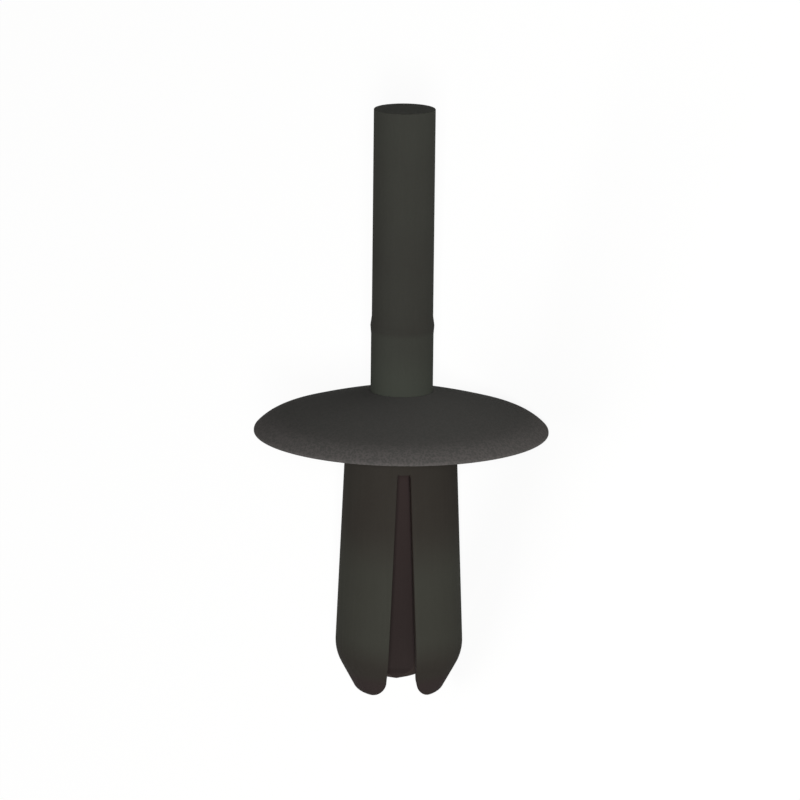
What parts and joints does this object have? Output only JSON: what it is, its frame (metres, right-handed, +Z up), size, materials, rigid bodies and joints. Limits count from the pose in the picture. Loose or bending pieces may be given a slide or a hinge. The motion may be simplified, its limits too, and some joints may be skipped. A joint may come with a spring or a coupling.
{
  "type": "push rivet",
  "caption": "Plastic push rivet: a domed round head on a slit, springy shank, with a drive pin standing out of the head that is pushed in flush to spread the legs in a panel hole.",
  "frame": {"origin": "on the floor under the middle of the lying rivet's bounding box", "axes": "+X from the leg tips toward the drive pin, level; +Z up; the rivet's own axis rises 20.80 degrees toward the pin because it lies on the head's edge and the legs"},
  "size_m": [0.0314, 0.016, 0.0153],
  "materials": {
    "body_nylon": "moulded black nylon, fine spark-eroded grain on the head",
    "pin_nylon": "moulded black nylon, smooth satin"
  },
  "bodies": {
    "body": {"rivet_body": "body_nylon"},
    "pin": {"drive_pin": "pin_nylon"}
  },
  "joints": [
    {"name": "pin_slide", "type": "slide", "parent": "body", "child": "pin", "axis": [-0.9348, 0, -0.3551], "range_m": [0, 0.01549]}
  ]
}
